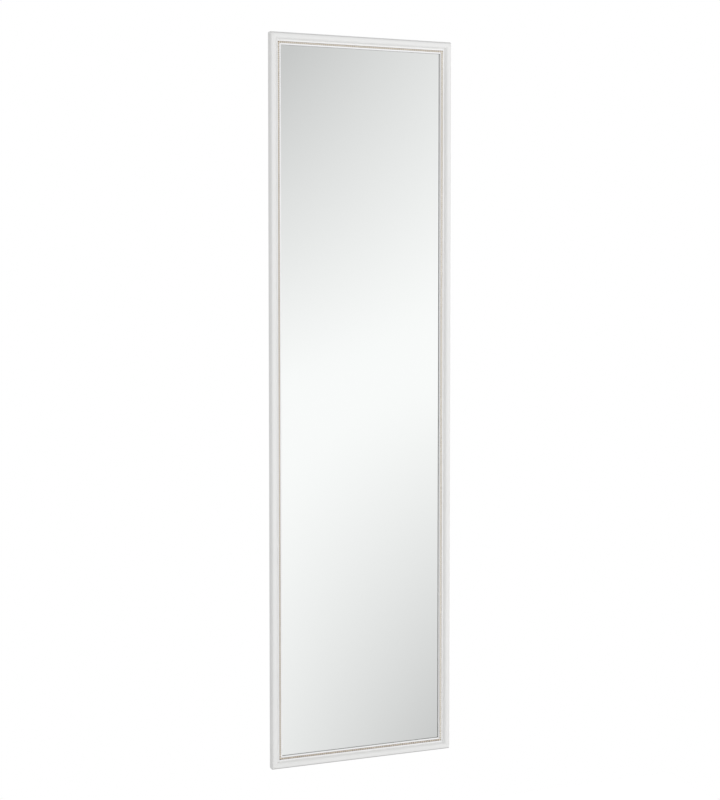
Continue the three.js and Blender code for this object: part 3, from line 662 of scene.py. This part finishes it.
def make_beads(quarter, prefix, length, reach):
    """One closed strip of half-round beads joined by thin necks, mitred at both ends."""
    profile = bead_profile(length - 2 * (BEAD_LINE + MITRE_TRIM))
    points, lift = [], []
    for station, (x, radius) in enumerate(profile):
        end = (station == len(profile) - 1) - (station == 0)
        for k in range(BEAD_SIDES + 1):
            angle = math.pi * k / BEAD_SIDES
            off, rise = radius * math.cos(angle), radius * math.sin(angle)
            inward, height = BEAD_LINE + off, BEAD_SEAT + rise
            points.append(turned(quarter, reach, x - end * off, inward, height))
            lift.append(rise / (BEAD_DIAMETER / 2))
    ring = BEAD_SIDES + 1
    last = len(points) - ring
    faces = [list(range(ring)), list(range(last, last + ring))]
    for start in range(0, last, ring):
        for k in range(ring):
            nearby = (k + 1) % ring
            faces.append((start + k, start + ring + k, start + ring + nearby, start + nearby))
    made = new_object(prefix + "_pearls", points, faces)
    dress(made, "ivory_bead")
    made.data.set_sharp_from_angle(angle=BEAD_SHARP_ANGLE)
    carry(made, "lift", "FLOAT", lift)
    # beads beside the left mitres are darkest, elsewhere they take this side's value
    by_dark_corner = [in_dark_corner(vertex.co) for vertex in made.data.vertices]
    carry(made, "patina_and_painted_shade", "FLOAT", [1.0 if dark else SIDE_WASH_AND_PAINTED_SHADE[prefix][1] for dark in by_dark_corner])
    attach(made, "frame")
    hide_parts(prefix + "_beading")


for quarter, (prefix, node, length, reach, corners) in enumerate(SIDES):
    make_side(quarter, prefix, node, length, reach, corners)
    make_beads(quarter, prefix, length, reach)

# ---------------------------------------------------------------- the mirror


def make_mirror():
    """The silvered face, at the depth where it seems to lie, with its glass's outline."""
    low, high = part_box("mirror_glass")
    low.y = BACK_PLANE - SILVER_HEIGHT
    made = rounded_slab(
        "silvered_pane", low, high, thin=1, corner=PANE_CORNER, edge=PANE_ARRIS
    )
    dress(made, "silvered_glass")
    made.data.shade_flat()
    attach(made, "frame")
    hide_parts("mirror_glass")


make_mirror()

# ---------------------------------------------------------------- foam pads


def make_pad(hand, place, thin):
    """A hanger's foam pad, where the strap meets the door's top edge or its far face."""
    node = f"{hand}_{place}_pad"
    low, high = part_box(node)
    made = rounded_slab(f"{hand}_{place}_foam", low, high, thin, PAD_CORNER, PAD_EDGE)
    dress(made, "pad")
    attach(made, hand + "_hanger")
    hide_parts(node)


for hand in ("left", "right"):
    make_pad(hand, "seat", thin=2)
    make_pad(hand, "lip", thin=1)

# ---------------------------------------------------------------- hardware and back

EASED_EDGES = {
    "zinc_steel": 0.18 * MM,
    "rubber": 0.3 * MM,
    "hardboard": 0.2 * MM,
    "card": 0.05 * MM,
}
WELD_REACH = 0.001 * MM
FLAT_ANGLE = math.radians(0.5)  # faces that bend less than this are joined into one


def ease(piece, width):
    """Takes the hardness off a carried-over piece's edges. The flat normals that came with
    it go first, because they would hide the bevel's shading."""
    piece.data.attributes.remove(piece.data.attributes["custom_normal"])
    weld = piece.modifiers.new("weld", "WELD")
    weld.merge_threshold = WELD_REACH
    plain = piece.modifiers.new("plain_faces", "DECIMATE")
    plain.decimate_type = "DISSOLVE"
    plain.angle_limit = FLAT_ANGLE
    bevel = piece.modifiers.new("eased_edges", "BEVEL")
    bevel.width = width
    bevel.segments = 2
    bevel.limit_method = "ANGLE"
    bevel.angle_limit = SHARP_ANGLE
    bevel.harden_normals = True


for part in frame["record"]["subparts"]:
    if part["material_slot"] in EASED_EDGES:
        piece = frame["nodes"][part["node"]]
        dress(piece, part["material_slot"])
        ease(piece, EASED_EDGES[part["material_slot"]])

# ---------------------------------------------------------------- stage


def make_floor():
    """A pale floor that fades to white at its rim."""
    data = bpy.data.meshes.new("floor")
    corners = [(-1, -1), (1, -1), (1, 1), (-1, 1)]
    points = [(x * FLOOR_HALF, y * FLOOR_HALF, -DOOR_HEIGHT) for x, y in corners]
    data.from_pydata(points, [], [(0, 1, 2, 3)])
    made = bpy.data.objects.new("floor", data)
    bpy.context.scene.collection.objects.link(made)
    finish = Finish("floor", (FLOOR_COLOUR, FLOOR_COLOUR, FLOOR_COLOUR), 1.0)
    finish.feed("Specular IOR Level", 0.0)
    finish.feed("Emission Color", (1.0, 1.0, 1.0))
    level = finish.stretched(finish.place, 1, 1, 0)
    radius = finish.add("VectorMath", {0: level}, operation="LENGTH").outputs["Value"]
    glow = finish.ramp(radius, FLOOR_GLOW_START * FLOOR_HALF, FLOOR_HALF, *FLOOR_GLOW)
    path = finish.add("LightPath").outputs
    mirrored = finish.math("MULTIPLY", path["Is Glossy Ray"], MIRRORED_GLOW)
    seen = finish.math("MAXIMUM", mirrored, path["Is Transmission Ray"])
    seen = finish.math("MAXIMUM", path["Is Camera Ray"], seen)
    finish.feed("Emission Strength", finish.math("MULTIPLY", seen, glow))
    data.materials.append(finish.material)


def wall_axes():
    """Unit vectors to the right, up and ahead of the camera's middle, mirrored in the glass."""
    right = Vector((math.cos(CAMERA_YAW), -math.sin(CAMERA_YAW), 0))
    level = Vector((math.sin(CAMERA_YAW), math.cos(CAMERA_YAW), 0))
    ahead = level * math.cos(CAMERA_PITCH) + Vector((0, 0, math.sin(CAMERA_PITCH)))
    return [(axis.x, -axis.y, axis.z) for axis in (right, right.cross(ahead), ahead)]


def wall_glow(nodes, direction):
    """The pale wall that the mirror sees, and how far ahead of it a direction points."""
    right, up, ahead = (nodes.dot(direction, axis) for axis in wall_axes())
    near = nodes.math("MAXIMUM", ahead, WALL_NEAREST)
    across = nodes.math("MAXIMUM", nodes.math("DIVIDE", right, near), -WALL_RIGHT_LIMIT)
    across = nodes.math("MINIMUM", across, WALL_RIGHT_LIMIT)
    rise = nodes.math("MAXIMUM", nodes.math("DIVIDE", up, near), WALL_UP_LIMITS[0])
    rise = nodes.math("MINIMUM", rise, WALL_UP_LIMITS[1])
    glow = WALL_WHITE
    for constant, by_across, by_rise, by_both in (WALL_UPPER, WALL_LOWER):
        slope = nodes.math("ADD", nodes.math("MULTIPLY", across, by_both), by_rise)
        tilt = nodes.math("ADD", nodes.math("MULTIPLY", across, by_across), constant)
        fall = nodes.math("ADD", nodes.math("MULTIPLY", rise, slope), tilt)
        square = nodes.math("ADD", nodes.math("MULTIPLY", fall, fall), WALL_SOFTNESS ** 2)
        fall = nodes.math("ADD", fall, nodes.math("SQRT", square))
        glow = nodes.math("SUBTRACT", glow, nodes.math("MULTIPLY", fall, 0.5))
    glow = nodes.math("MAXIMUM", glow, WALL_DARKEST)
    return nodes.math("DIVIDE", glow, GLASS_COLOUR[1]), ahead


def make_world():
    """White to the camera, a soft light from ahead and behind that is weaker from the sides
    and gone from above and below, and to polished surfaces a pale wall in front of the
    mirror and a brighter ceiling behind it."""
    world = bpy.data.worlds.new("studio")
    bpy.context.scene.world = world
    world.use_nodes = True
    nodes = Nodes(world.node_tree)
    direction = nodes.add("TexCoord").outputs["Generated"]
    wall, ahead = wall_glow(nodes, direction)
    behind = nodes.ramp(nodes.dot(direction, (0, 0, 1)), *BACK_LIFTS, *BACK_GLOW)
    over = nodes.math("SUBTRACT", wall, behind)
    gain = nodes.math("MULTIPLY", nodes.ramp(ahead, *WALL_FADE), over)
    squares = nodes.add("VectorMath", {0: direction, 1: direction}, operation="MULTIPLY").outputs[0]
    missing = nodes.math("MULTIPLY", nodes.dot(squares, AMBIENT_FALL), -AMBIENT)
    soft = nodes.math("ADD", missing, AMBIENT)
    polished = nodes.math("SUBTRACT", nodes.math("ADD", behind, gain), soft)
    path = nodes.add("LightPath").outputs
    lit = nodes.math("ADD", nodes.math("MULTIPLY", path["Is Glossy Ray"], polished), soft)
    open_view = nodes.math("MAXIMUM", path["Is Camera Ray"], path["Is Transmission Ray"])
    background = world.node_tree.nodes["Background"]
    nodes.put(background.inputs["Color"], (1.0, 1.0, 1.0))
    nodes.put(background.inputs["Strength"], nodes.math("MAXIMUM", lit, open_view))


def make_lamp(name, bearing, share):
    """A soft round lamp in front of the mirror, to one side."""
    data = bpy.data.lights.new(name, "AREA")
    data.shape = "DISK"
    data.size = LAMP_SIZE
    data.energy = share * (math.pi * LAMP_DISTANCE) ** 2
    made = bpy.data.objects.new(name, data)
    towards = Vector((
        math.sin(bearing) * math.cos(LAMP_LIFT),
        -math.cos(bearing) * math.cos(LAMP_LIFT),
        math.sin(LAMP_LIFT),
    ))
    made.location = Vector((0, BACK_PLANE, FRAME_MIDDLE)) + towards * LAMP_DISTANCE
    made.rotation_euler = towards.to_track_quat("Z", "Y").to_euler()
    made.visible_camera = False
    made.visible_glossy = False
    bpy.context.scene.collection.objects.link(made)


def make_camera():
    data = bpy.data.cameras.new("camera")
    data.sensor_width = SENSOR_MM
    data.lens = FOCAL_PIXELS * SENSOR_MM / IMAGE_HEIGHT_PIXELS
    data.shift_y = CAMERA_SHIFT
    made = bpy.data.objects.new("camera", data)
    made.location = CAMERA_PLACE
    made.rotation_euler = (math.pi / 2 + CAMERA_PITCH, 0, -CAMERA_YAW)
    bpy.context.scene.collection.objects.link(made)
    bpy.context.scene.camera = made


make_floor()
make_world()
make_lamp("key", KEY_BEARING, KEY_SHARE)
make_lamp("fill", FILL_BEARING, FILL_SHARE)
make_camera()
bpy.context.scene.view_settings.view_transform = "Standard"
